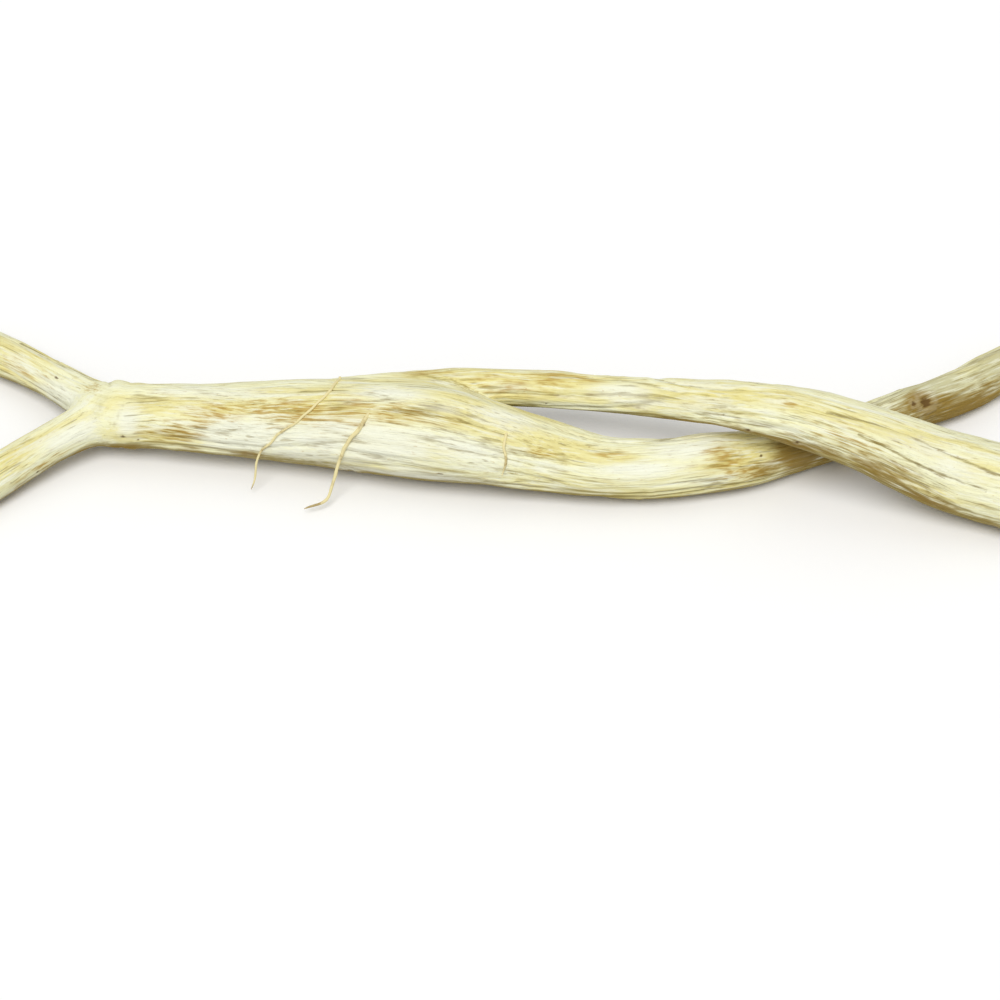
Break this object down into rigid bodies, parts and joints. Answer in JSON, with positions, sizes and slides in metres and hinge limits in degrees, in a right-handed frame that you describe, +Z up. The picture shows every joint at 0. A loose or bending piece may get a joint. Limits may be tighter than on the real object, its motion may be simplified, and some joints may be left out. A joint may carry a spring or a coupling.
{
  "type": "astragalus root",
  "caption": "Dried astragalus root lying on its side: a stout tapering main root, forked at one end, with a branch that crosses over its thin end, and fine hair roots.",
  "frame": {"origin": "centre of the bounding box in X and Y, at the height of the surface that the root lies on", "axes": "+X runs along the root from the fork to the thick cut end of the branch, +Y runs away from the root's front, +Z is up"},
  "size_m": [0.3774, 0.103, 0.0387],
  "materials": {
    "bark": "matte dried root bark, pale cream yellow, finely wrinkled lengthwise, with brownish furrows, scars and lenticels"
  },
  "bodies": {
    "root": {"astragalus_root": "bark"}
  },
  "joints": []
}
